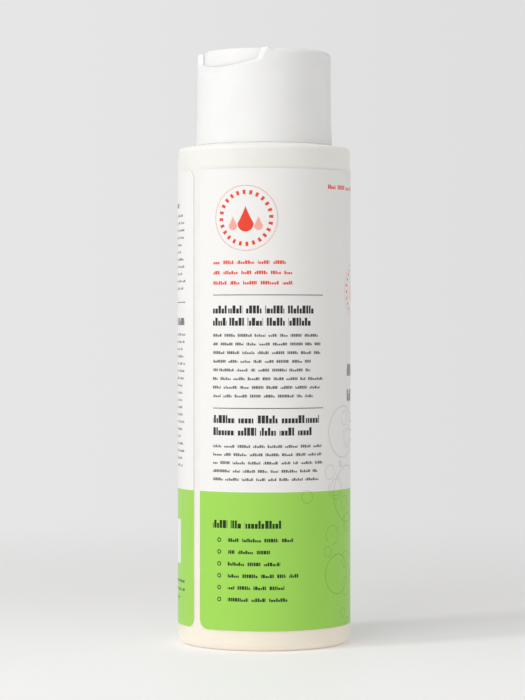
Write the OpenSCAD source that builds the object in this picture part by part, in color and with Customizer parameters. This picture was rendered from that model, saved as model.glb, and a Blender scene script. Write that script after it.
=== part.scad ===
// Cylindrical shampoo bottle with a wrap-around label and a press-top closure.
// Millimetres, +Z up. The foot stands on z = 0 and the bottle's axis is the Z axis.
// The closure's thumb scoop faces +Y and its nozzle faces -Y.

/* [Bottle] */
// Diameter over the label
body_d = 62.5; // [56:0.5:80]
// Height of the shoulder, where the closure sits
shoulder_h = 179.1; // [130:0.1:230]
// Wall of the body
body_wall = 1.1; // [0.8:0.1:1.8]
// Rounding between the side and the shoulder
shoulder_r = 1.6; // [1.5:0.1:4]
// Fall of the shoulder from the closure out to the rounding
shoulder_fall = 0.9; // [0.2:0.1:2]
// Rounding between the side and the foot
foot_r = 3; // [1.5:0.1:5]
// Width of the flat ring that the bottle stands on
foot_ring_w = 2.6; // [1.5:0.1:4]
// Height of the hollow in the base
base_rise = 2.8; // [1:0.1:5]

/* [Neck] */
// Diameter of the neck between its threads
neck_d = 25.2; // [22:0.1:28]
// Diameter over the threads
thread_d = 27.5; // [24:0.1:31]
// Bore of the neck
neck_bore_d = 20.6; // [14:0.1:21]
// Height of the lip above the shoulder
neck_h = 17.4; // [14:0.1:22]
// Hollow rounding where the neck leaves the shoulder
neck_root_r = 1.4; // [0.5:0.1:2]

/* [Label] */
// Thickness of the printed film
label_t = 0.2; // [0.1:0.05:0.4]
// Thickness of the glue under the film
glue_t = 0.03; // [0.01:0.01:0.06]
// Height of the lower edge
label_z = 7.3; // [6:0.1:20]
// Distance from the film's upper edge up to the shoulder
label_drop = 9.5; // [5:0.1:90]
// Gap between the two ends of the film
seam_gap = 3.6; // [1:0.1:12]
// Rounding of the film's four corners
label_corner_r = 3.5; // [1:0.1:8]
// Turn of the seam from the closure's scoop, clockwise from above, in degrees
seam_turn = 2.6; // [0:0.1:180]

/* [Closure] */
// Outer diameter at the top
cap_d = 48.2; // [46:0.1:52]
// Depth of the well above the deck
well_depth = 13.7; // [13:0.1:18]
// Width of the rim around the well
rim_w = 2.3; // [1.6:0.1:3]
// Gap between the closure's lower edge and the shoulder
cap_gap = 0.05; // [0:0.05:1.5]
// Growth of the radius towards the lower edge
cap_flare = 0.5; // [0.1:0.1:1]
// Height over which the wall flares
cap_flare_h = 18.5; // [10:0.5:22]
// Wall of the outer skirt
cap_wall = 1.8; // [1.2:0.1:2.2]
// Rounding of the top rim
rim_r = 2.2; // [1:0.1:4]
// Angle between the scoop's end and the start of the rim's rounding
ear_turn = 7; // [3:1:12]
// Thickness of the deck above the neck
deck_t = 1.4; // [1:0.1:2]
// Wall of the threaded collar
collar_wall = 1.6; // [1.2:0.1:2.4]
// Gap between the collar and the top of the neck's threads
collar_clear = 0.15; // [0.1:0.05:0.4]
// Height of the collar's lower edge above the skirt's
collar_lift = 0.8; // [0.5:0.1:3]
// Number of ribs between the collar and the skirt
rib_count = 8; // [4:1:12]
// Thickness of a rib
rib_t = 1; // [0.8:0.1:1.6]
// Height of the ribs below the deck
rib_h = 9; // [4:0.5:12]

/* [Scoop] */
// Half of the scoop's opening at the top, in degrees
scoop_half = 50; // [38:1:52]
// Lean of the scoop's two ends, in degrees from upright
scoop_lean = 18; // [5:1:35]
// Depth of the scoop at its middle
scoop_depth = 8; // [6.5:0.1:9]
// Rise of the scoop's ledge towards its two ends, in degrees
scoop_tilt = 25; // [5:1:35]
// Slope of the ledge before it is tilted, in degrees
scoop_slope = 14; // [10:1:30]

/* [Press disc] */
// Thickness of the disc's plate
disc_t = 1.4; // [1:0.1:2]
// Bevel around the top of the plate
disc_bevel = 0.3; // [0.1:0.05:0.5]
// Depth of the pivot below the top
pivot_drop = 2.6; // [2.4:0.1:3]
// Gap between the swinging disc and the well around it
well_clear = 0.12; // [0.08:0.01:0.3]
// Wall of the skirt
disc_skirt_t = 1.4; // [0.8:0.1:2]
// Depth of the skirt below the top
disc_skirt_h = 3; // [2.4:0.1:4]
// Depth of the skirt behind the scoop
rear_skirt_h = 6.4; // [6:0.1:7]
// How far the disc tips, in degrees
disc_travel = 20; // [15:1:20]
// Diameter of the pivot pins
pin_d = 2.6; // [2:0.1:3]
// Length of a pin inside its socket
pin_reach = 0.9; // [0.6:0.1:1.1]
// Running clearance of a pin in its socket, on the radius
pin_clear = 0.06; // [0.02:0.01:0.1]
// Radius of the valve ball under the disc
ball_r = 7.5; // [7:0.1:8]
// Clearance between the ball and its seat
ball_clear = 0.06; // [0.03:0.01:0.1]
// Diameter of the hole in the seat
orifice_d = 2.4; // [1.6:0.1:2.4]
// Bore of the nozzle
nozzle_bore_d = 3; // [2.4:0.1:3.4]
// Outer diameter of the nozzle
nozzle_d = 6.4; // [5.4:0.1:7]
// Depth of the thumb dish in the disc's top
dish_depth = 0.5; // [0.2:0.1:0.7]

/* [Liner] */
// Thickness of the foam ring
liner_t = 1; // [0.6:0.1:1.6]
// Width left free around the ring, in the collar
liner_clear = 0.5; // [0.2:0.1:0.8]
// Gap above and below the ring
liner_gap = 0.05; // [0.02:0.01:0.1]

/* [Hidden] */
$fn = 120;
// Overrun of a cut past the face that it leaves by
cut = 1;
// Overlap of a rounding with the faces that it blends into
blend = 0.02;

// Bottle
bottle_r = body_d / 2 - label_t - glue_t;
shell_in_r = bottle_r - body_wall;
lip_z = shoulder_h + neck_h;
side_top = shoulder_h - shoulder_fall;
foot_in_r = bottle_r - foot_r - foot_ring_w;
neck_r = neck_d / 2;
neck_bore_r = neck_bore_d / 2;
// The base is hollowed by a sphere that reaches base_rise above the floor
base_ball_r = (pow(foot_in_r, 2) + pow(base_rise, 2)) / (2 * base_rise);
lip_bevel = 0.4;
label_h = shoulder_h - label_drop - label_z;

// Closure
cap_r = cap_d / 2;
cap_z = shoulder_h + cap_gap;
flare_z = cap_z + cap_flare_h;
// The flare is an arc that starts upright at flare_z
flare_r = (pow(cap_flare_h, 2) + pow(cap_flare, 2)) / (2 * cap_flare);
deck_z = lip_z + liner_t + 2 * liner_gap;
deck_top = deck_z + deck_t;
top_z = deck_top + well_depth;
well_r = cap_r - rim_w;
skirt_in_r = cap_r - cap_wall;
collar_in_r = thread_d / 2 + collar_clear;
collar_out_r = collar_in_r + collar_wall;
rim_round_from = scoop_half + ear_turn;
// The shoulder is flat under the closure and falls from there to its rounding
crown_r = min(cap_r + cap_flare, bottle_r - shoulder_r - cut);
// Centre on which the cutter of the rim's rounding swings out of the rim
runout_r = cap_r + 2 * cut;
runout_sink = 0.05;

// Scoop
scoop_y = cap_r * cos(scoop_half);
scoop_z = top_z - scoop_depth;
scoop_low = scoop_z - 2;
ledge_down = 5;
ledge_top_r = 2;
ledge_up = (cap_r - ledge_top_r) * tan(scoop_slope);

// Press disc. It swings inside a sphere about the pivot, which just clears the well.
pivot_z = top_z - pivot_drop;
swing_r = well_r - well_clear;
disc_r = sqrt(pow(swing_r, 2) - pow(pivot_drop, 2));
disc_skirt_in_r = disc_r - disc_skirt_t;
pin_r = pin_d / 2;
pin_tip = well_r + pin_reach;
pin_end_gap = 0.15;
socket_tip = pin_tip + pin_end_gap;
boss_r = pin_r + 1;
boss_in = disc_skirt_in_r - 3;
boss_gap = 0.4;
boss_out = well_r - boss_gap;
// Front end of the deep part of the skirt
skirt_step_y = disc_r * cos(scoop_half + 4);
seat_r = 4.6;
seat_lip = 0.1;
nozzle_drop = 1.6;
// Top of the seat, just above the ball's outline at the seat's edge
seat_top = pivot_z - sqrt(pow(ball_r, 2) - pow(seat_r, 2)) + seat_lip;
dish_r = 45;
// Middle of the dish, as a share of the disc's radius
dish_share = 0.56;
dish_y = disc_r * dish_share;

// Area under the outline of a round-cornered body, from the axis out to r
module body_outline(r, foot, low, high, corner, crown, crown_r) {
  translate([0, low + foot])
    square([r, high - low - foot - corner]);
  translate([0, low])
    square([r - foot, high - low]);
  translate([r - foot, low + foot])
    circle(foot);
  translate([r - corner, high - corner])
    circle(corner);
  polygon([
    [0, low + foot],
    [r - corner, low + foot],
    [r - corner, high],
    [crown_r, crown],
    [0, crown]
  ]);
}

module bottle_outside() {
  rotate_extrude()
    body_outline(bottle_r, foot_r, 0, side_top, shoulder_r, shoulder_h, crown_r);
  // Neck, with the hollow rounding at its root
  rotate_extrude() {
    translate([0, shoulder_h - cut])
      square([neck_r, neck_h + cut - lip_bevel]);
    polygon([
      [0, lip_z - lip_bevel],
      [neck_r, lip_z - lip_bevel],
      [neck_r - lip_bevel, lip_z],
      [0, lip_z]
    ]);
    difference() {
      translate([0, shoulder_h - cut])
        square([neck_r + neck_root_r, neck_root_r + cut]);
      translate([neck_r + neck_root_r, shoulder_h + neck_root_r])
        circle(neck_root_r);
    }
  }
}

module bottle_inside() {
  inner_foot = foot_r - body_wall;
  inner_corner = shoulder_r - body_wall;
  difference() {
    rotate_extrude()
      body_outline(shell_in_r, inner_foot, body_wall, side_top - body_wall, inner_corner,
        shoulder_h - body_wall, crown_r);
    // The floor of the hollow rises with the base
    translate([0, 0, base_rise - base_ball_r])
      sphere(base_ball_r + body_wall);
  }
  translate([0, 0, shoulder_h - body_wall - cut])
    cylinder(r = neck_bore_r, h = neck_h + body_wall + 2 * cut);
}

module bottle() {
  color("#f1efe4")
    difference() {
      bottle_outside();
      bottle_inside();
      translate([0, 0, base_rise - base_ball_r])
        sphere(base_ball_r);
    }
}

// Waste outside one round corner of the film, whose square corner is at the origin
module corner_waste() {
  difference() {
    translate([-blend, -cut])
      square([label_corner_r + blend, label_corner_r + cut]);
    translate([label_corner_r, label_corner_r])
      circle(label_corner_r + blend);
  }
}

module label() {
  inner = bottle_r + glue_t;
  half = seam_gap / 2;
  color("#f7f7f5")
    rotate([0, 0, -seam_turn])
      difference() {
        translate([0, 0, label_z])
          cylinder(r = inner + label_t, h = label_h);
        translate([0, 0, label_z - cut])
          cylinder(r = inner, h = label_h + 2 * cut);
        // Gap between the ends, and the rounding of the corners beside it
        translate([0, inner + 3 * cut, label_z])
          rotate([90, 0, 0])
            linear_extrude(height = 6 * cut) {
              translate([-half, -cut])
                square([seam_gap, label_h + 2 * cut]);
              for (side = [0, 1])
                for (top = [0, 1])
                  mirror([side, 0, 0])
                    translate([half, top * label_h])
                      mirror([0, top, 0])
                        corner_waste();
            }
      }
}

// Half section of the closure's outside, square at the top
module closure_outline() {
  translate([0, cap_z + cap_flare_h])
    square([cap_r, top_z - flare_z]);
  difference() {
    translate([0, cap_z])
      square([cap_r + cap_flare, cap_flare_h]);
    translate([cap_r + flare_r, flare_z])
      circle(flare_r, $fn = 1440);
  }
}

// Waste outside the rim's rounding, in half section
module rim_corner() {
  difference() {
    translate([cap_r - rim_r, top_z - rim_r])
      square([rim_r + cut, rim_r + cut]);
    translate([cap_r - rim_r, top_z - rim_r])
      circle(rim_r + blend);
  }
}

// Cutter of the rim's rounding. It leaves the rim on a small arc at each side of the scoop.
module rim_round() {
  rotate([0, 0, 90 + rim_round_from])
    rotate_extrude(angle = 360 - 2 * rim_round_from)
      rim_corner();
  for (side = [0, 1])
    mirror([side, 0, 0])
      rotate([0, 0, 90 - rim_round_from])
        translate([runout_r - runout_sink, 0, 0])
          rotate([0, 0, 90])
            rotate_extrude(angle = 120)
              translate([runout_r, 0])
                mirror([1, 0])
                  rim_corner();
}

// Cutter of the thumb scoop: a leaning back across the rim, above a sloping conical ledge
module scoop() {
  back_low = scoop_y + (top_z - scoop_low) * tan(scoop_lean);
  back_high = scoop_y - cut * tan(scoop_lean);
  difference() {
    rotate([90, 0, 90])
      linear_extrude(height = 4 * cap_r, center = true)
        polygon([
          [back_high, top_z + cut],
          [back_low, scoop_low],
          [cap_r + 4 * cut, scoop_low],
          [cap_r + 4 * cut, top_z + cut]
        ]);
    translate([0, cap_r, scoop_z])
      rotate([-scoop_tilt, 0, 0])
        translate([0, -cap_r, -ledge_down])
          cylinder(
            r1 = cap_r + ledge_down / tan(scoop_slope),
            r2 = ledge_top_r,
            h = ledge_down + ledge_up
          );
  }
}

// Room between the skirt and the collar, less the ribs that join them
module skirt_room() {
  difference() {
    rotate_extrude()
      translate([collar_out_r, cap_z - cut])
        square([skirt_in_r - collar_out_r, deck_z - cap_z + cut]);
    for (i = [0 : rib_count - 1])
      rotate([0, 0, (i + 0.5) * 360 / rib_count])
        translate([collar_out_r - cut, -rib_t / 2, deck_z - rib_h])
          cube([skirt_in_r - collar_out_r + 2 * cut, rib_t, rib_h + cut]);
  }
}

module closure_shell() {
  color("#f6f6f4")
    difference() {
      union() {
        difference() {
          rotate_extrude()
            closure_outline();
          rim_round();
          scoop();
          // Well of the disc
          translate([0, 0, deck_top])
            cylinder(r = well_r, h = top_z - deck_top + cut);
          skirt_room();
        }
        // Seat of the valve ball
        translate([0, 0, deck_top - deck_t / 2])
          cylinder(r = seat_r, h = seat_top - deck_top + deck_t / 2);
      }
      translate([0, 0, pivot_z])
        sphere(ball_r + ball_clear);
      // Bore of the collar, and the room below its lower edge
      translate([0, 0, cap_z - cut])
        cylinder(r = collar_in_r, h = deck_z - cap_z + cut);
      translate([0, 0, cap_z - cut])
        cylinder(r = collar_out_r + cut, h = collar_lift + cut);
      // Hole in the seat
      translate([0, 0, deck_z - cut])
        cylinder(d = orifice_d, h = seat_top - deck_z + 2 * cut);
      // Sockets of the two pivot pins
      translate([-socket_tip, 0, pivot_z])
        rotate([0, 90, 0])
          cylinder(r = pin_r + pin_clear, h = 2 * socket_tip);
    }
}

// Plate, skirt and nozzle of the disc, before they are trimmed to the swing
module disc_blank() {
  translate([0, 0, top_z - disc_t])
    cylinder(r = disc_r + 2 * cut, h = disc_t);
  // Skirt, deep behind the scoop and shallow around the rest
  difference() {
    rotate_extrude()
      translate([disc_skirt_in_r, top_z - rear_skirt_h])
        square([disc_skirt_t + cut, rear_skirt_h - disc_t / 2]);
    translate([-2 * disc_r, skirt_step_y - 4 * disc_r, top_z - rear_skirt_h - cut])
      cube([4 * disc_r, 4 * disc_r, rear_skirt_h - disc_skirt_h + cut]);
  }
  translate([0, 0, pivot_z - nozzle_drop])
    rotate([90, 0, 0])
      cylinder(d = nozzle_d, h = disc_r + cut);
}

// Body that the disc may fill: the swing's sphere, cut flat and bevelled at the top
module swing_body() {
  intersection() {
    translate([0, 0, pivot_z])
      sphere(swing_r);
    translate([0, 0, pivot_z - swing_r])
      cylinder(r = 2 * swing_r, h = swing_r + pivot_drop);
    bevel_h = swing_r;
    translate([0, 0, top_z - bevel_h])
      cylinder(r1 = disc_r - disc_bevel + bevel_h, r2 = disc_r - disc_bevel, h = bevel_h);
  }
}

module press_disc() {
  color("#f6f6f4")
    difference() {
      union() {
        intersection() {
          disc_blank();
          swing_body();
        }
        // Valve ball
        intersection() {
          translate([0, 0, pivot_z])
            sphere(ball_r);
          translate([0, 0, pivot_z - 2 * ball_r])
            cylinder(r = 2 * ball_r, h = 2 * ball_r + pivot_drop - disc_t / 2);
        }
        // Bosses and pivot pins
        for (side = [0, 1])
          mirror([side, 0, 0]) {
            translate([boss_in, 0, pivot_z])
              rotate([0, 90, 0])
                cylinder(r = boss_r, h = boss_out - boss_in);
            translate([boss_out - cut, 0, pivot_z])
              rotate([0, 90, 0])
                cylinder(r = pin_r, h = pin_tip - boss_out + cut);
          }
      }
      // Nozzle, from the valve ball to the front edge
      translate([0, nozzle_bore_d / 2, pivot_z - nozzle_drop])
        rotate([90, 0, 0])
          cylinder(d = nozzle_bore_d, h = disc_r + 2 * nozzle_bore_d);
      // Inlet, which turns over the hole in the seat when the disc is tipped
      translate([0, 0, pivot_z])
        rotate([disc_travel, 0, 0])
          translate([0, 0, -ball_r - cut])
            cylinder(d = orifice_d, h = ball_r + cut - nozzle_drop / 2);
      // Thumb dish
      translate([0, dish_y, top_z + dish_r - dish_depth])
        sphere(dish_r, $fn = 360);
    }
}

module liner() {
  color("#fbfbfa")
    translate([0, 0, lip_z + liner_gap])
      difference() {
        cylinder(r = collar_in_r - liner_clear, h = liner_t);
        translate([0, 0, -cut])
          cylinder(r = neck_bore_r, h = liner_t + 2 * cut);
      }
}

bottle();
label();
closure_shell();
press_disc();
liner();
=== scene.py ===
"""Looks of a cylindrical shampoo bottle with a press-top closure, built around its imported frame.

Metres, +Z up, the foot on z = 0. The label's print is laid out in millimetres along its film.
"""

import math

import bpy
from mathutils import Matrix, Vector


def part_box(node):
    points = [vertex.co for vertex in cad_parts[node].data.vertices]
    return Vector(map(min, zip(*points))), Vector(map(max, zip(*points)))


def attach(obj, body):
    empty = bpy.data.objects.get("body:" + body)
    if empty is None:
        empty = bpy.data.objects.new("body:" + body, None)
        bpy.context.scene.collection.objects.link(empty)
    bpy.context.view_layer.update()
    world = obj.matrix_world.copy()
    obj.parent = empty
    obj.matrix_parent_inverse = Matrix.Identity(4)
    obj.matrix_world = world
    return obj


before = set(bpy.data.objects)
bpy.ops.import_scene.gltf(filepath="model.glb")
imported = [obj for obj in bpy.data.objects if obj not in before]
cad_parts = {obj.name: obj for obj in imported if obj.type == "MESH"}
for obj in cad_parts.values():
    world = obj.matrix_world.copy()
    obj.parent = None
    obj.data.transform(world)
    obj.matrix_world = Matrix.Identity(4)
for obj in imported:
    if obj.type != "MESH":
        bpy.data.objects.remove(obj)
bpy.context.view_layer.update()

MM = 0.001

# ---------------------------------------------------------------------------
# Places, from the frame and from the photograph
# ---------------------------------------------------------------------------

LABEL_LOW, LABEL_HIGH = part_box("label")
LABEL_R = (LABEL_HIGH.x - LABEL_LOW.x) / 2
LIP_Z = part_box("bottle")[1].z

PHOTO_AZIMUTH = math.radians(227.4)
PHOTO_BACK = Vector((math.sin(PHOTO_AZIMUTH), -math.cos(PHOTO_AZIMUTH), 0))
PHOTO_RIGHT = Vector((-PHOTO_BACK.y, PHOTO_BACK.x, 0))
PHOTO_DISTANCE = 0.937
PHOTO_EYE_Z = 0.1146
PHOTO_LENS = 133.15
# The image's middle is this far to the left of the bottle's axis
PHOTO_LEFT = 0.58 * MM
PHOTO_PITCH = math.radians(0.553)

# Middle of the gap between the film's two ends, as an angle from +X
SEAM_ANGLE = math.radians(87.4)
# The print shows on what lies less than this under the film's outer face
PRINT_DEPTH = 0.08 * MM

# Thread of the 28 mm neck finish. Its ridges have a width at the root and one at the crest
THREAD_PITCH = 25.4 / 6 * MM
THREAD_TURNS = 1.5
NECK_ROOT_R = 12.6 * MM
NECK_CREST_R = 13.7 * MM
NECK_ROOT_W = 2.1 * MM
NECK_CREST_W = 1.1 * MM
NECK_THREAD_TOP = LIP_Z - 1.9 * MM
NECK_THREAD_LOW = NECK_THREAD_TOP - THREAD_TURNS * THREAD_PITCH
COLLAR_ROOT_R = 13.9 * MM
COLLAR_CREST_R = 12.85 * MM
COLLAR_ROOT_W = 1.6 * MM
COLLAR_CREST_W = 0.8 * MM
# The collar's ridge lies half a pitch below the neck's
COLLAR_THREAD_LOW = NECK_THREAD_LOW - THREAD_PITCH / 2

# Base hollow of the bottle: a ball that reaches HOLLOW_RISE above the floor
HOLLOW_R = 25.4 * MM
HOLLOW_RISE = 2.8 * MM

# ---------------------------------------------------------------------------
# Colours, as linear values
# ---------------------------------------------------------------------------


def paint(red, green, blue):
    """Linear colour of an sRGB one given from 0 to 255."""
    linear = []
    for value in (red, green, blue):
        share = value / 255
        linear.append(share / 12.92 if share <= 0.04045 else ((share + 0.055) / 1.055) ** 2.4)
    return (*linear, 1)


BOTTLE_SHADED = paint(236, 235, 230)
BOTTLE_PALE = paint(238, 238, 234)
BOTTLE_FOOT = paint(248, 235, 220)
BOTTLE_GLOW = (1, 0.96, 0.88, 1)
CLOSURE_SHADED = paint(244, 244, 243)
CLOSURE_PALE = paint(246, 246, 245)
FOAM_WALL = paint(250, 250, 248)
FOAM_CELL = paint(238, 238, 234)
FILM_WHITE = paint(245, 244, 242)
FILM_THROWN = paint(214, 212, 208)
BAND_GREEN = paint(164, 221, 92)
BAND_ART = paint(141, 196, 77)
WHITE_ART = paint(214, 215, 213)
INK_DARK = paint(52, 52, 52)
INK_BODY = paint(104, 104, 104)
INK_RED = paint(238, 74, 52)
INK_PINK = paint(250, 176, 164)
INK_GREEN = paint(32, 56, 24)
# Table colours far from and near the camera: painted shade and painted light, as light falls off across
# the table
TABLE_SHADED_FAR = paint(236, 236, 236)
TABLE_LIT_NEAR = paint(250, 250, 250)
TABLE_GLOW = (1, 1, 1, 1)
# Backdrop painted lighter on the left, where the lamps stand, and darker on the right: painted light
# and shade
BACKDROP_LIT_LEFT = paint(230, 230, 230)
BACKDROP_SHADED_RIGHT = paint(223, 223, 223)
WORLD_TINT = (1, 0.985, 0.965, 1)

# ---------------------------------------------------------------------------
# Node helpers
# ---------------------------------------------------------------------------


class Sheet:
    """A node tree that is written like arithmetic. A value is a socket or a number."""

    def __init__(self, tree):
        self.tree = tree

    def node(self, kind, inputs=(), **settings):
        """A new node with its settings made and its inputs fed."""
        made = self.tree.nodes.new(kind)
        for name, value in settings.items():
            setattr(made, name, value)
        for name, value in dict(inputs).items():
            self.feed(made.inputs[name], value)
        return made

    def feed(self, socket, value):
        """Links a socket to an input, or writes a number or colour into it."""
        if isinstance(value, bpy.types.NodeSocket):
            self.tree.links.new(value, socket)
        else:
            socket.default_value = value

    def math(self, operation, first, second=0.0, clamp=False):
        """The result of a Math node."""
        made = self.node("ShaderNodeMath", operation=operation, use_clamp=clamp)
        self.feed(made.inputs[0], first)
        self.feed(made.inputs[1], second)
        return made.outputs[0]

    def plus(self, first, second):
        return self.math("ADD", first, second)

    def minus(self, first, second):
        return self.math("SUBTRACT", first, second)

    def times(self, first, second):
        return self.math("MULTIPLY", first, second)

    def over(self, first, second):
        return self.math("DIVIDE", first, second)

    def below(self, first, second):
        return self.math("LESS_THAN", first, second)

    def above(self, first, second):
        return self.math("GREATER_THAN", first, second)

    def least(self, first, second):
        return self.math("MINIMUM", first, second)

    def most(self, first, second):
        return self.math("MAXIMUM", first, second)

    def size(self, value):
        return self.math("ABSOLUTE", value)

    def length(self, first, second):
        """Length of the long side of a right-angled triangle."""
        squares = self.plus(self.times(first, first), self.times(second, second))
        return self.math("SQRT", squares)

    def ramp(self, value, low, high, start=0.0, end=1.0):
        """value from low to high, eased into start to end."""
        made = self.node(
            "ShaderNodeMapRange",
            {"Value": value, "From Min": low, "From Max": high, "To Min": start, "To Max": end},
            interpolation_type="SMOOTHSTEP",
        )
        return made.outputs["Result"]

    def blend(self, share, first, second):
        """first where share is 0, second where it is 1."""
        made = self.node("ShaderNodeMix", data_type="RGBA")
        self.feed(made.inputs[0], share)
        self.feed(made.inputs[6], first)
        self.feed(made.inputs[7], second)
        return made.outputs[2]

    def place(self):
        """Place on the piece, in the shared frame, in metres."""
        return self.node("ShaderNodeTexCoord").outputs["Object"]

    def parts(self, vector):
        """The three numbers of a vector."""
        return self.node("ShaderNodeSeparateXYZ", {"Vector": vector}).outputs

    def group(self, tree, **inputs):
        """The outputs of a node group placed here. An input's underscores stand for spaces."""
        made = self.node("ShaderNodeGroup", node_tree=tree)
        for name, value in inputs.items():
            self.feed(made.inputs[name.replace("_", " ")], value)
        return made.outputs


def new_group(name, inputs, outputs):
    """An empty node group: (group, its sheet, its input sockets, its output sockets)."""
    tree = bpy.data.node_groups.new(name, "ShaderNodeTree")
    for label, value in inputs:
        socket = tree.interface.new_socket(label, in_out="INPUT", socket_type="NodeSocketFloat")
        socket.default_value = value
    for label in outputs:
        tree.interface.new_socket(label, in_out="OUTPUT", socket_type="NodeSocketFloat")
    start = tree.nodes.new("NodeGroupInput")
    end = tree.nodes.new("NodeGroupOutput")
    return tree, Sheet(tree), start.outputs, end.inputs


def first_of(tree, kind):
    """The node of one kind that a new tree holds."""
    return next(node for node in tree.nodes if node.type == kind)


def set_sockets(node, **values):
    """Writes constants into a node's own sockets. Underscores stand for spaces."""
    for name, value in values.items():
        node.inputs[name.replace("_", " ")].default_value = value


# ---------------------------------------------------------------------------
# Node groups
# ---------------------------------------------------------------------------


def make_film_place():
    """Millimetres along the film from its seam, counter-clockwise from above, and up from the foot.

    Printed is 1 on the film's outer face and 0 on its back and its cut edges.
    """
    tree, sheet, _, end = new_group("Film place", [], ["Across", "Up", "Printed"])
    x, y, z = sheet.parts(sheet.place())
    angle = sheet.math("ARCTAN2", y, x)
    turned = sheet.math("FLOORED_MODULO", sheet.minus(angle, SEAM_ANGLE), math.tau)
    sheet.feed(end["Across"], sheet.times(turned, LABEL_R / MM))
    sheet.feed(end["Up"], sheet.times(z, 1 / MM))
    sheet.feed(end["Printed"], sheet.above(sheet.length(x, y), LABEL_R - PRINT_DEPTH))
    return tree


def make_printed_box():
    """A plain rectangle."""
    inputs = [("Across", 0), ("Up", 0), ("Left", 0), ("Right", 1), ("Bottom", 0), ("Top", 1)]
    tree, sheet, start, end = new_group("Printed box", inputs, ["Mask"])
    inside_across = sheet.least(
        sheet.minus(start["Across"], start["Left"]),
        sheet.minus(start["Right"], start["Across"]),
    )
    inside_up = sheet.least(
        sheet.minus(start["Up"], start["Bottom"]),
        sheet.minus(start["Top"], start["Up"]),
    )
    sheet.feed(end["Mask"], sheet.above(sheet.least(inside_across, inside_up), 0))
    return tree


def make_printed_rows():
    """Rows of plain bars of uneven length, cut into little blocks, which stand for small print."""
    # Steps from one seed's random draws to the next one's, and from one row's bars and blocks to
    # the next row's
    seed_step = 31.7
    bar_step = 7.31
    block_step = 3.17
    # No gap comes nearer to an end of its row than this, in heights of a bar
    end_clearance = 2.0
    # A block's mean width is a share of the bar's height and a fixed part in millimetres
    block_share = 0.25
    block_base = 0.5
    block_randomness = 0.7
    # Half the slit between two blocks, in mean block widths
    slit = 0.1
    # Top of a low block above the row's middle and what a tall one adds, in heights of a bar
    low_top = 0.12
    tall_extra = 0.4
    # A block is tall where its random draw is above this
    tall_from = 0.45
    inputs = [
        ("Across", 0), ("Up", 0), ("Left", 0), ("Right", 40), ("Top", 100), ("Pitch", 3),
        ("Rows", 3), ("Bar", 1), ("Spread", 6), ("Gap", 1), ("Ragged", 4), ("Seed", 0),
    ]
    tree, sheet, start, end = new_group("Printed rows", inputs, ["Mask"])

    def cells(place, randomness, feature):
        node = sheet.node(
            "ShaderNodeTexVoronoi",
            {"W": place, "Scale": 1.0, "Randomness": randomness},
            voronoi_dimensions="1D",
            feature=feature,
        )
        return node.outputs

    down = sheet.minus(start["Top"], start["Up"])
    row = sheet.math("FLOOR", sheet.over(down, start["Pitch"]))
    middle = sheet.times(sheet.plus(row, 0.5), start["Pitch"])
    under_middle = sheet.minus(down, middle)
    row_seed = sheet.plus(sheet.times(start["Seed"], seed_step), row)
    drawn = sheet.node("ShaderNodeTexWhiteNoise", {"W": row_seed}, noise_dimensions="1D")
    short = sheet.times(drawn.outputs["Value"], start["Ragged"])
    from_ends = sheet.least(
        sheet.minus(start["Across"], start["Left"]),
        sheet.minus(sheet.minus(start["Right"], short), start["Across"]),
    )

    bars = cells(
        sheet.plus(sheet.over(start["Across"], start["Spread"]), sheet.times(row_seed, bar_step)),
        1.0,
        "DISTANCE_TO_EDGE",
    )
    from_gap = sheet.most(
        sheet.minus(
            sheet.times(bars["Distance"], start["Spread"]),
            sheet.over(start["Gap"], 2),
        ),
        sheet.minus(sheet.times(start["Bar"], end_clearance), from_ends),
    )
    bar = sheet.times(
        sheet.above(sheet.least(from_gap, from_ends), 0),
        sheet.below(sheet.size(under_middle), sheet.over(start["Bar"], 2)),
    )

    # Each bar is cut into blocks of uneven width, of which some are a little lower
    block_pitch = sheet.plus(sheet.times(start["Bar"], block_share), block_base)
    along = sheet.plus(sheet.over(start["Across"], block_pitch), sheet.times(row_seed, block_step))
    edges = cells(along, block_randomness, "DISTANCE_TO_EDGE")
    blocks = cells(along, block_randomness, "F1")
    tall = sheet.above(blocks["Color"], tall_from)
    top_edge = sheet.times(start["Bar"], sheet.plus(low_top, sheet.times(tall, tall_extra)))
    bar = sheet.times(bar, sheet.above(edges["Distance"], slit))
    bar = sheet.times(bar, sheet.above(top_edge, sheet.times(under_middle, -1)))

    last_row = sheet.minus(start["Rows"], 0.5)
    in_rows = sheet.times(sheet.above(row, -0.5), sheet.below(row, last_row))
    sheet.feed(end["Mask"], sheet.times(bar, in_rows))
    return tree


def make_printed_ring():
    """A ring of Dashes dashes, each filling Fill of its share of the ring."""
    inputs = [
        ("Across", 0), ("Up", 0), ("Middle", 0), ("Height", 0),
        ("Radius", 10), ("Line", 0.3), ("Dashes", 60), ("Fill", 0.6),
    ]
    tree, sheet, start, end = new_group("Printed ring", inputs, ["Mask"])
    x = sheet.minus(start["Across"], start["Middle"])
    y = sheet.minus(start["Up"], start["Height"])
    off_line = sheet.size(sheet.minus(sheet.length(x, y), start["Radius"]))
    turn = sheet.over(sheet.math("ARCTAN2", y, x), math.tau)
    beat = sheet.math("FRACT", sheet.times(sheet.plus(turn, 1), start["Dashes"]))
    on_line = sheet.below(off_line, sheet.over(start["Line"], 2))
    sheet.feed(end["Mask"], sheet.times(on_line, sheet.below(beat, start["Fill"])))
    return tree


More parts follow.
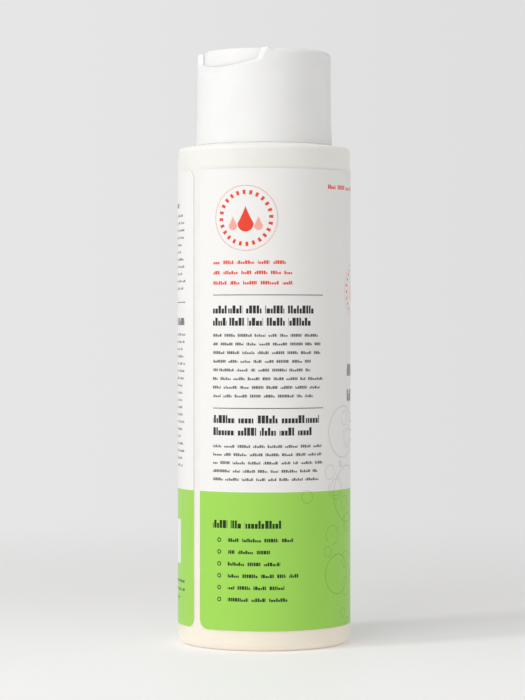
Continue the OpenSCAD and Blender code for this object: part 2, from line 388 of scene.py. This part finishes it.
def make_printed_drop():
    """A water drop with its point up: round below, drawn to a point above."""
    # Height of the point above the widest place, in radii, and how much the sides hollow
    point = 2.1
    hollow = 0.4
    inputs = [("Across", 0), ("Up", 0), ("Middle", 0), ("Height", 0), ("Radius", 3)]
    tree, sheet, start, end = new_group("Printed drop", inputs, ["Mask"])
    x = sheet.over(sheet.minus(start["Across"], start["Middle"]), start["Radius"])
    y = sheet.over(sheet.minus(start["Up"], start["Height"]), start["Radius"])
    under = sheet.least(y, 0)
    round_part = sheet.math("SQRT", sheet.most(sheet.minus(1, sheet.times(under, under)), 0))
    climb = sheet.math("DIVIDE", sheet.most(y, 0), point, clamp=True)
    taper = sheet.times(
        sheet.minus(1, climb),
        sheet.math("SQRT", sheet.minus(1, sheet.times(climb, hollow))),
    )
    half_width = sheet.times(round_part, taper)
    sheet.feed(end["Mask"], sheet.below(sheet.size(x), half_width))
    return tree


def make_bubbles():
    """Thin rings of many sizes, one in each cell of a loose grid, as far as Reach from a spot."""
    looseness = 0.75
    # Smallest and largest radius, in grid spacings
    smallest = 0.10
    largest = 0.42
    # Bubbles whose random draw is above shine_from have a second ring at this share of their radius
    shine_at = 0.72
    shine_from = 0.6
    # Reach is counted in full across the film and by this share up it
    up_share = 0.5
    inputs = [
        ("Across", 0), ("Up", 0), ("Spacing", 10), ("Line", 0.3), ("Seed", 0),
        ("Middle", 0), ("Height", 0), ("Reach", 60),
    ]
    tree, sheet, start, end = new_group("Bubbles", inputs, ["Mask"])
    corner = sheet.node(
        "ShaderNodeCombineXYZ",
        {
            "X": sheet.plus(sheet.over(start["Across"], start["Spacing"]), start["Seed"]),
            "Y": sheet.over(start["Up"], start["Spacing"]),
        },
    )
    cells = sheet.node(
        "ShaderNodeTexVoronoi",
        {"Vector": corner.outputs[0], "Scale": 1.0, "Randomness": looseness},
        voronoi_dimensions="2D",
        feature="F1",
    ).outputs
    away = sheet.times(cells["Distance"], start["Spacing"])
    drawn = sheet.node("ShaderNodeSeparateColor", {"Color": cells["Color"]}).outputs
    radius = sheet.times(start["Spacing"], sheet.ramp(drawn[0], 0, 1, smallest, largest))
    half_line = sheet.over(start["Line"], 2)
    ring = sheet.below(sheet.size(sheet.minus(away, radius)), half_line)
    off_shine = sheet.size(sheet.minus(away, sheet.times(radius, shine_at)))
    shine = sheet.times(sheet.below(off_shine, half_line), sheet.above(drawn[1], shine_from))

    # A bubble is drawn whole or not at all, by where its middle lies
    spot_x, spot_y, _ = sheet.parts(cells["Position"])
    middle_across = sheet.times(sheet.minus(spot_x, start["Seed"]), start["Spacing"])
    middle_up = sheet.times(spot_y, start["Spacing"])
    off_across = sheet.size(sheet.minus(middle_across, start["Middle"]))
    off_up = sheet.size(sheet.minus(middle_up, start["Height"]))
    furthest = sheet.plus(sheet.plus(off_across, radius), sheet.times(off_up, up_share))
    in_reach = sheet.below(furthest, start["Reach"])
    sheet.feed(end["Mask"], sheet.times(sheet.most(ring, shine), in_reach))
    return tree


def make_moulded_grain():
    """Fine grain and slow unevenness of a moulded surface. Height is in metres."""
    inputs = [("Grain", 0.4), ("Grain depth", 0.004), ("Sweep", 12), ("Sweep depth", 0.02)]
    tree, sheet, start, end = new_group("Moulded grain", inputs, ["Height", "Unevenness"])
    place = sheet.place()

    def noise(width, detail, roughness):
        node = sheet.node(
            "ShaderNodeTexNoise",
            {
                "Vector": place,
                "Scale": sheet.over(1 / MM, width),
                "Detail": detail,
                "Roughness": roughness,
            },
        )
        return node.outputs["Fac"]

    fine = noise(start["Grain"], 3.0, 0.6)
    slow = noise(start["Sweep"], 2.0, 0.5)
    height = sheet.plus(
        sheet.times(fine, start["Grain depth"]),
        sheet.times(slow, start["Sweep depth"]),
    )
    sheet.feed(end["Height"], sheet.times(height, MM))
    # The noise lies from 0 to 1, and the unevenness around 0
    sheet.feed(end["Unevenness"], sheet.minus(slow, 0.5))
    return tree


def make_mould_line():
    """The thin raised line that the two halves of a blow mould leave in the plane y = 0."""
    inputs = [("Width", 0.35), ("Rise", 0.03)]
    tree, sheet, start, end = new_group("Mould line", inputs, ["Height"])
    _, y, _ = sheet.parts(sheet.place())
    off = sheet.times(sheet.size(y), 1 / MM)
    share = sheet.ramp(off, sheet.over(start["Width"], 2), 0.0)
    sheet.feed(end["Height"], sheet.times(sheet.times(share, start["Rise"]), MM))
    return tree


FILM_PLACE = make_film_place()
PRINTED_BOX = make_printed_box()
PRINTED_ROWS = make_printed_rows()
PRINTED_RING = make_printed_ring()
PRINTED_DROP = make_printed_drop()
BUBBLES = make_bubbles()
MOULDED_GRAIN = make_moulded_grain()
MOULD_LINE = make_mould_line()

# ---------------------------------------------------------------------------
# Plastics and foam
# ---------------------------------------------------------------------------

SOFT_EDGE = 0.25 * MM
# Unevenness at which a plastic has its full shaded or its full pale colour
FULL_TINT = 0.2


def new_material(name):
    """A material with a Principled shader: (material, sheet, shader)."""
    material = bpy.data.materials.new(name)
    material.use_nodes = True
    tree = material.node_tree
    return material, Sheet(tree), first_of(tree, "BSDF_PRINCIPLED")


def raise_surface(sheet, shader, height, edge=0.0):
    """Feeds a height in metres to the shader's normal, over edges softened by a radius."""
    inputs = {"Height": height, "Distance": 1.0, "Strength": 1.0}
    if edge:
        soft = sheet.node("ShaderNodeBevel", {"Radius": edge}, samples=4)
        inputs["Normal"] = soft.outputs["Normal"]
    bump = sheet.node("ShaderNodeBump", inputs)
    sheet.feed(shader.inputs["Normal"], bump.outputs["Normal"])


def uneven_colour(sheet, grain, shaded, pale):
    """A colour that drifts between two with the grain's unevenness."""
    return sheet.blend(sheet.ramp(grain["Unevenness"], -FULL_TINT, FULL_TINT), shaded, pale)


def uneven_roughness(sheet, shader, grain, middle, swing):
    """Feeds the shader a roughness that drifts with the grain's unevenness."""
    rough = sheet.plus(middle, sheet.times(grain["Unevenness"], swing))
    sheet.feed(shader.inputs["Roughness"], rough)


def milky_polyethylene():
    """Blow-moulded high-density polyethylene, a little see-through, and warmer towards the foot."""
    # Between these two heights the foot's warm colour gives way to the body's
    foot_z = 0.005
    body_z = 0.07
    material, sheet, shader = new_material("Milky polyethylene")
    grain = sheet.group(MOULDED_GRAIN, Grain=0.5, Grain_depth=0.006, Sweep=14, Sweep_depth=0.05)
    line = sheet.group(MOULD_LINE)
    body = uneven_colour(sheet, grain, BOTTLE_SHADED, BOTTLE_PALE)
    _, _, z = sheet.parts(sheet.place())
    shade = sheet.blend(sheet.ramp(z, foot_z, body_z), BOTTLE_FOOT, body)
    sheet.feed(shader.inputs["Base Color"], shade)
    uneven_roughness(sheet, shader, grain, middle=0.38, swing=0.2)
    set_sockets(
        shader, IOR=1.5, Specular_IOR_Level=0.4,
        Subsurface_Weight=1.0, Subsurface_Radius=(0.9, 0.9, 1.0), Subsurface_Scale=1.5 * MM,
    )
    # A trace of glow stands in for the light that the thin wall lets through from the far side
    set_sockets(shader, Emission_Color=BOTTLE_GLOW, Emission_Strength=0.055)
    raise_surface(sheet, shader, sheet.plus(grain["Height"], line["Height"]), SOFT_EDGE)
    return material


def white_polypropylene():
    """Injection-moulded polypropylene from a polished mould."""
    material, sheet, shader = new_material("White polypropylene")
    grain = sheet.group(MOULDED_GRAIN, Grain=0.35, Grain_depth=0.002, Sweep=11, Sweep_depth=0.02)
    shade = uneven_colour(sheet, grain, CLOSURE_SHADED, CLOSURE_PALE)
    sheet.feed(shader.inputs["Base Color"], shade)
    uneven_roughness(sheet, shader, grain, middle=0.36, swing=0.15)
    set_sockets(
        shader, IOR=1.49, Specular_IOR_Level=0.4,
        Subsurface_Weight=0.25, Subsurface_Radius=(1.0, 0.8, 0.6), Subsurface_Scale=1.2 * MM,
    )
    raise_surface(sheet, shader, grain["Height"], SOFT_EDGE)
    return material


def white_foam():
    """Closed-cell foam of the liner, with its small cells showing."""
    cell = 0.35 * MM
    cell_depth = 0.03 * MM
    wall_share = 0.12
    material, sheet, shader = new_material("White foam")
    cells = sheet.node(
        "ShaderNodeTexVoronoi",
        {"Vector": sheet.place(), "Scale": 1 / cell},
        feature="DISTANCE_TO_EDGE",
    )
    inside = sheet.ramp(cells.outputs["Distance"], 0.0, wall_share)
    sheet.feed(shader.inputs["Base Color"], sheet.blend(inside, FOAM_WALL, FOAM_CELL))
    sheet.feed(shader.inputs["Roughness"], sheet.ramp(inside, 0, 1, start=0.6, end=0.85))
    raise_surface(sheet, shader, sheet.times(inside, -cell_depth))
    return material


# ---------------------------------------------------------------------------
# Print, in millimetres along the film from its seam and up from the foot
# ---------------------------------------------------------------------------

FILM_MIDDLE = LABEL_R / MM * math.pi
BAND_TOP = 55.95
THIN_LINE = 0.28

# Columns, as (left, right)
SIDE_LEFT_EDGE = 8.1
SIDE_COLUMN = (SIDE_LEFT_EDGE, 50.0)
FRONT_LEFT_COLUMN = (52.5, 82.0)
BACK_COLUMN = (148.0, 188.6)
PANEL_COLUMN = (151.6, 183.6)


def from_side_left(left, right):
    """A column between two distances from the side column's left edge."""
    return SIDE_LEFT_EDGE + left, SIDE_LEFT_EDGE + right


def from_middle(left, right):
    """A column between two distances from the middle of the film."""
    return FILM_MIDDLE + left, FILM_MIDDLE + right


# Styles of rows, as (height of a bar, mean length of a bar, gap between two bars)
TITLE = (4.2, 15, 3.0)
HEADING = (2.8, 8, 1.3)
BACK_HEADING = (2.6, 8, 1.3)
TOP_LINE = (1.5, 5, 1.1)
LEAD = (1.25, 5.5, 1.2)
LIST = (1.25, 6, 1.2)
BODY = (1.0, 5, 1.0)
BACK_BODY = (0.85, 4.5, 0.9)
BACK_FOOT = (0.95, 5, 1.0)
FRONT_BODY = (1.1, 6, 1.2)
FRONT_FOOT = (1.5, 7, 1.4)

LIST_PITCH = 4.18
LIST_ROWS = 6

BADGE_MIDDLE = SIDE_LEFT_EDGE + 12.6
FRONT_BADGE_MIDDLE = FILM_MIDDLE - 25


class FilmPrint:
    """Masks of the film's print: each is 1 where its ink lies."""

    def __init__(self, sheet, across, up):
        self.sheet = sheet
        self.across = across
        self.up = up

    def stamp(self, tree, **inputs):
        """The mask of one of the print groups."""
        return self.sheet.group(tree, Across=self.across, Up=self.up, **inputs)["Mask"]

    def either(self, *masks):
        """Several masks in one."""
        total = masks[0]
        for mask in masks[1:]:
            total = self.sheet.most(total, mask)
        return total

    def box(self, column, bottom, top):
        left, right = column
        return self.stamp(PRINTED_BOX, Left=left, Right=right, Bottom=bottom, Top=top)

    def rule(self, column, bottom):
        return self.box(column, bottom, bottom + THIN_LINE)

    def rows(self, style, column, top, pitch, count, ragged, seed):
        """Rows from top down, each up to ragged shorter than the column."""
        bar, spread, gap = style
        left, right = column
        return self.stamp(
            PRINTED_ROWS, Left=left, Right=right, Top=top, Pitch=pitch, Rows=count,
            Bar=bar, Spread=spread, Gap=gap, Ragged=ragged, Seed=seed,
        )

    def ring(self, middle, height, radius, line, dashes=1, fill=2.0):
        """A ring, whole unless it gets dashes that fill less than all of it."""
        return self.stamp(
            PRINTED_RING, Middle=middle, Height=height, Radius=radius, Line=line,
            Dashes=dashes, Fill=fill,
        )

    def badge(self, middle, height, radius, dashes, inner_radius, tooth, teeth):
        """A finely dashed ring around a ring of short teeth."""
        return self.either(
            self.ring(middle, height, radius, THIN_LINE, dashes, fill=0.55),
            self.ring(middle, height, inner_radius, tooth, teeth, fill=0.42),
        )

    def drop(self, middle, height, radius):
        return self.stamp(PRINTED_DROP, Middle=middle, Height=height, Radius=radius)

    def bubbles(self, spacing, line, seed):
        """Bubbles around the middle of the front, near the height of the band's upper edge."""
        return self.stamp(
            BUBBLES, Spacing=spacing, Line=line, Seed=seed, Middle=FILM_MIDDLE, Height=50, Reach=60
        )


def red_print(film):
    """Badges, and the rows under and beside them."""
    top_line = {"top": 165.3, "pitch": 3.6, "count": 1, "ragged": 0.5}
    return film.either(
        film.badge(
            BADGE_MIDDLE, height=152.1, radius=11.4, dashes=110, inner_radius=9.1, tooth=1.5, teeth=24
        ),
        film.drop(BADGE_MIDDLE, height=150.2, radius=2.9),
        film.rows(LEAD, from_side_left(0, 31), top=138.4, pitch=3.6, count=3, ragged=7, seed=1),
        film.rows(TOP_LINE, FRONT_LEFT_COLUMN, seed=2, **top_line),
        film.badge(
            FRONT_BADGE_MIDDLE, height=127, radius=9.4, dashes=90, inner_radius=7.4, tooth=1.2, teeth=20
        ),
        film.rows(TOP_LINE, from_middle(8, 38), seed=5, **top_line),
    )


def pink_print(film):
    """Small drops in the badges."""
    aside = 4.6
    return film.either(
        film.drop(BADGE_MIDDLE - aside, height=149.4, radius=1.6),
        film.drop(BADGE_MIDDLE + aside, height=149.4, radius=1.6),
        film.drop(FRONT_BADGE_MIDDLE, height=125.4, radius=2.4),
    )


def dark_print(film):
    """Headings and rules."""
    return film.either(
        film.rule(SIDE_COLUMN, bottom=125.0),
        film.rule(SIDE_COLUMN, bottom=85.24),
        film.rule(BACK_COLUMN, bottom=122.6),
        film.rows(HEADING, from_side_left(0, 38), top=122.2, pitch=4.3, count=2, ragged=5, seed=3),
        film.rows(HEADING, from_side_left(0, 41), top=83.7, pitch=4.3, count=2, ragged=6, seed=4),
        film.rows(TITLE, from_middle(-32, 32), top=103, pitch=9.0, count=2, ragged=9, seed=6),
        film.rows(BACK_HEADING, BACK_COLUMN, top=160, pitch=4.3, count=1, ragged=12, seed=7),
        film.rows(BACK_HEADING, BACK_COLUMN, top=118, pitch=4.3, count=1, ragged=12, seed=8),
    )


def body_print(film):
    """Small print on the white ground."""
    return film.either(
        film.rows(BODY, from_side_left(0, 42), top=112.5, pitch=3.04, count=8, ragged=6, seed=9),
        film.rows(BODY, from_side_left(0, 42), top=73.5, pitch=2.9, count=5, ragged=6, seed=10),
        film.rows(BACK_BODY, BACK_COLUMN, top=155, pitch=2.6, count=11, ragged=5, seed=11),
        film.rows(BACK_BODY, BACK_COLUMN, top=112.5, pitch=2.6, count=19, ragged=5, seed=12),
        film.rows(FRONT_BODY, from_middle(-26, 26), top=82, pitch=3.4, count=3, ragged=6, seed=13),
    )


def band_print(film):
    """Print on the band: a heading, a list with its bullets, and rows near the foot."""
    bullet_middle = SIDE_LEFT_EDGE + 2.6
    top_bullet = 39.1
    bullets = [
        film.ring(bullet_middle, top_bullet - LIST_PITCH * row, radius=0.62, line=0.36)
        for row in range(LIST_ROWS)
    ]
    return film.either(
        film.rows(HEADING, from_side_left(0, 26), top=46.8, pitch=4.3, count=1, ragged=1, seed=14),
        film.rows(
            LIST, from_side_left(6, 33), top=41.2, pitch=LIST_PITCH, count=LIST_ROWS,
            ragged=12, seed=15,
        ),
        film.rows(BACK_FOOT, BACK_COLUMN, top=24.5, pitch=3.0, count=3, ragged=8, seed=16),
        film.rows(FRONT_FOOT, from_middle(-20, 20), top=22, pitch=4.2, count=2, ragged=5, seed=17),
        *bullets,
    )


def printed_film():
    """White film with a green band and generic print: rules, bars for small print, drops, bubbles."""
    # Share of the film's own colour that it doesn't throw on the table and the foot
    held_back = 0.8
    material, sheet, shader = new_material("Printed film")
    across, up, outer_face = sheet.group(FILM_PLACE)
    film = FilmPrint(sheet, across, up)

    foam = film.either(
        film.bubbles(spacing=24, line=0.38, seed=0),
        film.bubbles(spacing=10, line=THIN_LINE, seed=4),
    )
    band = sheet.below(up, BAND_TOP)
    ground = sheet.blend(band, FILM_WHITE, BAND_GREEN)
    art = sheet.blend(band, WHITE_ART, BAND_ART)
    colour = sheet.blend(foam, ground, art)
    # White panel in the band, beside the seam
    colour = sheet.blend(film.box(PANEL_COLUMN, bottom=29.2, top=44.9), colour, FILM_WHITE)

    inks = (
        (pink_print(film), INK_PINK),
        (red_print(film), INK_RED),
        (dark_print(film), INK_DARK),
        (body_print(film), INK_BODY),
        (band_print(film), INK_GREEN),
    )
    for mask, ink in inks:
        colour = sheet.blend(mask, colour, ink)
    inked = film.either(*(mask for mask, _ in inks))

    thrown = sheet.node("ShaderNodeLightPath").outputs["Is Diffuse Ray"]
    seen = sheet.blend(outer_face, FILM_WHITE, colour)
    shade = sheet.blend(sheet.times(thrown, held_back), seen, FILM_THROWN)
    sheet.feed(shader.inputs["Base Color"], shade)
    grain = sheet.group(MOULDED_GRAIN, Grain=0.6, Grain_depth=0.002, Sweep=18, Sweep_depth=0.06)
    # Ink is a little glossier than the bare film
    middle = sheet.ramp(inked, 0, 1, start=0.34, end=0.28)
    uneven_roughness(sheet, shader, grain, middle, swing=0.15)
    set_sockets(shader, IOR=1.49, Specular_IOR_Level=0.25)
    raise_surface(sheet, shader, grain["Height"])
    return material


# ---------------------------------------------------------------------------
# Pieces that the frame leaves to this script
# ---------------------------------------------------------------------------


def new_object(name, data):
    """An object in the scene that shows a mesh, a lamp or a camera."""
    made = bpy.data.objects.new(name, data)
    bpy.context.scene.collection.objects.link(made)
    return made


def mesh_piece(name, points, faces, material):
    """A mesh object with smooth shading."""
    mesh = bpy.data.meshes.new(name)
    mesh.from_pydata(points, [], faces)
    mesh.validate()
    mesh.update()
    mesh.shade_smooth()
    piece = new_object(name, mesh)
    piece.data.materials.append(material)
    return piece


def skin(rings, per_ring, flipped):
    """Faces of a closed bar whose points lie in rings, one after the other. flipped turns them over."""
    faces = []
    for i in range(rings - 1):
        for j in range(per_ring):
            a = i * per_ring + j
            b = i * per_ring + (j + 1) % per_ring
            faces.append((a, b, b + per_ring, a + per_ring))
    first = list(range(per_ring))
    faces.append(first[::-1])
    faces.append([(rings - 1) * per_ring + j for j in first])
    return [face[::-1] for face in faces] if flipped else faces


def thread_ridge(name, root_r, crest_r, low, root_w, crest_w, material):
    """A right-handed thread ridge from low upwards, faded out at its two ends.

    Its foot is sunk a little into the wall that carries it.
    """
    steps_per_turn = 96
    steps = round(THREAD_TURNS * steps_per_turn)
    fade_turns = 0.12
    least_growth = 0.02
    outward = crest_r > root_r
    sunk = 0.15 * MM
    foot_r = root_r - sunk if outward else root_r + sunk
    # A rounded crest between two leaning flanks
    profile_steps = 5
    crest_roundness = 0.35
    flank_top = 0.75
    points = []
    for i in range(steps + 1):
        turns = i / steps_per_turn
        angle = turns * math.tau
        grown = min(1, turns / fade_turns, (THREAD_TURNS - turns) / fade_turns)
        grown = max(least_growth, math.sin(grown * math.pi / 2))
        crest = root_r + (crest_r - root_r) * grown
        z = low + turns * THREAD_PITCH
        outline = [(foot_r, -root_w / 2)]
        for j in range(profile_steps + 1):
            off = j / profile_steps - 0.5
            on_crest = 0 < j < profile_steps
            lean = math.cos(off * math.pi) ** crest_roundness if on_crest else flank_top
            outline.append((root_r + (crest - root_r) * lean, off * crest_w))
        outline.append((foot_r, root_w / 2))
        points += [(r * math.cos(angle), r * math.sin(angle), z + dz) for r, dz in outline]
    return mesh_piece(name, points, skin(steps + 1, profile_steps + 3, outward), material)


def base_pinch(material):
    """The low ridge across the base's hollow, where the blow mould pinches the tube shut."""
    half_length = 17 * MM
    half_width = 0.7 * MM
    proud = 0.35 * MM
    sink = 0.1 * MM
    steps = 32
    # The ridge fades out over the last sixth of its half length, down to a share of its width
    growth = 6
    narrowest = 0.4
    ball_r = (HOLLOW_R**2 + HOLLOW_RISE**2) / (2 * HOLLOW_RISE)
    # Places across the ridge in half widths, with their depths below the hollow's ceiling
    profile = [(-1.0, -sink), (-0.6, proud * 0.7), (0.0, proud), (0.6, proud * 0.7), (1.0, -sink)]
    points = []
    for i in range(steps + 1):
        x = half_length * (2 * i / steps - 1)
        ceiling = HOLLOW_RISE - ball_r + math.sqrt(ball_r**2 - x**2)
        grown = min(1, (1 - abs(x) / half_length) * growth)
        width = half_width * (narrowest + (1 - narrowest) * grown)
        for across, depth in profile:
            hang = depth * grown if depth > 0 else depth
            points.append((x, across * width, ceiling - hang))
    return mesh_piece("base_pinch", points, skin(steps + 1, len(profile), False), material)


# ---------------------------------------------------------------------------
# Build
# ---------------------------------------------------------------------------

bottle_plastic = milky_polyethylene()
closure_plastic = white_polypropylene()
liner_foam = white_foam()
label_film = printed_film()

for node, finish in (
    ("bottle", bottle_plastic),
    ("label", label_film),
    ("closure_shell", closure_plastic),
    ("press_disc", closure_plastic),
    ("liner", liner_foam),
):
    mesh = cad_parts[node].data
    mesh.materials.clear()
    mesh.materials.append(finish)

neck_thread = thread_ridge(
    "neck_thread", NECK_ROOT_R, NECK_CREST_R,
    NECK_THREAD_LOW, NECK_ROOT_W, NECK_CREST_W, bottle_plastic,
)
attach(neck_thread, "bottle")

collar_thread = thread_ridge(
    "collar_thread", COLLAR_ROOT_R, COLLAR_CREST_R,
    COLLAR_THREAD_LOW, COLLAR_ROOT_W, COLLAR_CREST_W, closure_plastic,
)
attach(collar_thread, "cap")

pinch = base_pinch(bottle_plastic)
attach(pinch, "bottle")

# ---------------------------------------------------------------------------
# Studio
# ---------------------------------------------------------------------------

FLOOR_R = 3.0
FLOOR_POINTS = 64
# Lift that stands in for the light that the table passes on from below
FLOOR_GLOW = 0.098
# Distances in front of the bottle's axis at which the table has its far, darker colour and its near,
# lighter one: a painted fall-off of light
TABLE_FAR_AT = -0.22
TABLE_NEAR_AT = 0.12
# Distances all round at which the table starts to turn into the backdrop and has done so
BACKDROP_FROM = 0.12
BACKDROP_FULL = 0.6
# Tangent of half the photograph's angle of view across
HALF_VIEW = 0.101
# Least depth that the backdrop's shading divides by, and the depth at which it is full
LEAST_DEPTH = 0.1
FULL_DEPTH = 0.6

WORLD_LIGHT = 0.462
LAMP_DISTANCE = 1.6
LAMP_AIM = Vector((0, 0, 0.1))

# Each lamp: its share of full white, its turn to the left of the camera and up, and its side
KEY_LAMP = (0.28, math.radians(28), math.radians(38), 0.9)
# Smaller lamp from the left, whose shadow on the table has a firmer edge
SIDE_LAMP = (0.26, math.radians(60), math.radians(35), 0.3)
# Faint light from the right and behind, that lifts the dark side's edge
RIM_LAMP = (0.05, math.radians(-118), math.radians(12), 0.9)


def sideways(sheet, x, y, depth):
    """Share of the picture's width, from 0 at its left to 1 at its right, for a direction."""
    right = sheet.plus(sheet.times(x, PHOTO_RIGHT.x), sheet.times(y, PHOTO_RIGHT.y))
    slope = sheet.over(right, sheet.most(depth, LEAST_DEPTH))
    share = sheet.ramp(slope, -HALF_VIEW, HALF_VIEW)
    # Beside and behind the photograph's view it settles at the middle
    ahead = sheet.ramp(depth, 0, FULL_DEPTH)
    return sheet.plus(0.5, sheet.times(sheet.minus(share, 0.5), ahead))


def backdrop(sheet, x, y, depth):
    """The backdrop's colour for a direction, with light painted on it: lighter to the left, where the
    lamps stand, and darker to the right.
    """
    return sheet.blend(sideways(sheet, x, y, depth), BACKDROP_LIT_LEFT, BACKDROP_SHADED_RIGHT)


def mix_surface(sheet, output, share, first, second):
    """Feeds the output first's shader where share is 0 and second's where it is 1."""
    mix = sheet.node("ShaderNodeMixShader", {"Fac": share})
    sheet.feed(mix.inputs[1], first.outputs[0])
    sheet.feed(mix.inputs[2], second.outputs[0])
    sheet.feed(output.inputs["Surface"], mix.outputs[0])


def pale_table():
    """Pale table with painted light, lighter towards the camera, that turns into the backdrop far from
    the bottle.
    """
    material, sheet, shader = new_material("Pale table")
    x, y, _ = sheet.parts(sheet.place())
    towards = sheet.plus(sheet.times(x, PHOTO_BACK.x), sheet.times(y, PHOTO_BACK.y))
    # Painted light: the table's colour runs from darker far from the camera to lighter near it
    near = sheet.ramp(towards, TABLE_FAR_AT, TABLE_NEAR_AT)
    sheet.feed(shader.inputs["Base Color"], sheet.blend(near, TABLE_SHADED_FAR, TABLE_LIT_NEAR))
    set_sockets(
        shader, Roughness=0.55, Specular_IOR_Level=0.22,
        Emission_Color=TABLE_GLOW, Emission_Strength=FLOOR_GLOW,
    )
    colour = backdrop(
        sheet,
        sheet.minus(x, PHOTO_BACK.x * PHOTO_DISTANCE),
        sheet.minus(y, PHOTO_BACK.y * PHOTO_DISTANCE),
        sheet.minus(PHOTO_DISTANCE, towards),
    )
    far = sheet.node("ShaderNodeEmission", {"Color": colour, "Strength": 1.0})
    away = sheet.ramp(sheet.length(x, y), BACKDROP_FROM, BACKDROP_FULL)
    output = first_of(material.node_tree, "OUTPUT_MATERIAL")
    mix_surface(sheet, output, away, shader, far)
    return material


def make_floor():
    """A round table top."""
    turns = [i / FLOOR_POINTS * math.tau for i in range(FLOOR_POINTS)]
    edge = [(FLOOR_R * math.cos(turn), FLOOR_R * math.sin(turn), 0) for turn in turns]
    floor = mesh_piece("floor", edge, [list(range(FLOOR_POINTS))], pale_table())


def make_world():
    """Soft light from all round. What the camera and glossy surfaces see of it is the backdrop."""
    world = bpy.data.worlds.new("Studio")
    world.use_nodes = True
    bpy.context.scene.world = world
    tree = world.node_tree
    sheet = Sheet(tree)
    light = first_of(tree, "BACKGROUND")
    set_sockets(light, Color=WORLD_TINT, Strength=WORLD_LIGHT)
    x, y, _ = sheet.parts(sheet.node("ShaderNodeTexCoord").outputs["Generated"])
    depth = sheet.plus(sheet.times(x, -PHOTO_BACK.x), sheet.times(y, -PHOTO_BACK.y))
    colour = backdrop(sheet, x, y, depth)
    seen = sheet.node("ShaderNodeBackground", {"Color": colour, "Strength": 1.0})
    path = sheet.node("ShaderNodeLightPath").outputs
    mirrored = sheet.most(path["Is Glossy Ray"], path["Is Transmission Ray"])
    shown = sheet.most(path["Is Camera Ray"], mirrored)
    mix_surface(sheet, first_of(tree, "OUTPUT_WORLD"), shown, light, seen)


def make_lamp(name, share, left, up, side):
    """A square lamp. A white surface that faces it gives back its share of full white."""
    lamp = bpy.data.lights.new(name, "AREA")
    lamp.shape = "SQUARE"
    lamp.size = side
    lamp.energy = share * (math.pi * LAMP_DISTANCE) ** 2
    level = PHOTO_BACK * math.cos(left) - PHOTO_RIGHT * math.sin(left)
    direction = level * math.cos(up) + Vector((0, 0, math.sin(up)))
    holder = new_object(name, lamp)
    holder.location = LAMP_AIM + direction * LAMP_DISTANCE
    holder.rotation_mode = "QUATERNION"
    holder.rotation_quaternion = direction.to_track_quat("Z", "Y")


def make_camera():
    """The photograph's camera."""
    data = bpy.data.cameras.new("photo_camera")
    data.lens = PHOTO_LENS
    data.sensor_width = 36
    data.clip_start = 0.05
    data.clip_end = 20
    camera = new_object("photo_camera", data)
    camera.location = PHOTO_BACK * PHOTO_DISTANCE + Vector((0, 0, PHOTO_EYE_Z))
    target = -PHOTO_RIGHT * PHOTO_LEFT
    target.z = PHOTO_EYE_Z - PHOTO_DISTANCE * math.tan(PHOTO_PITCH)
    camera.rotation_mode = "QUATERNION"
    camera.rotation_quaternion = (target - camera.location).to_track_quat("-Z", "Y")
    bpy.context.scene.camera = camera


make_floor()
make_world()
make_lamp("key_lamp", *KEY_LAMP)
make_lamp("side_lamp", *SIDE_LAMP)
make_lamp("rim_lamp", *RIM_LAMP)
make_camera()
bpy.context.scene.view_settings.view_transform = "Standard"
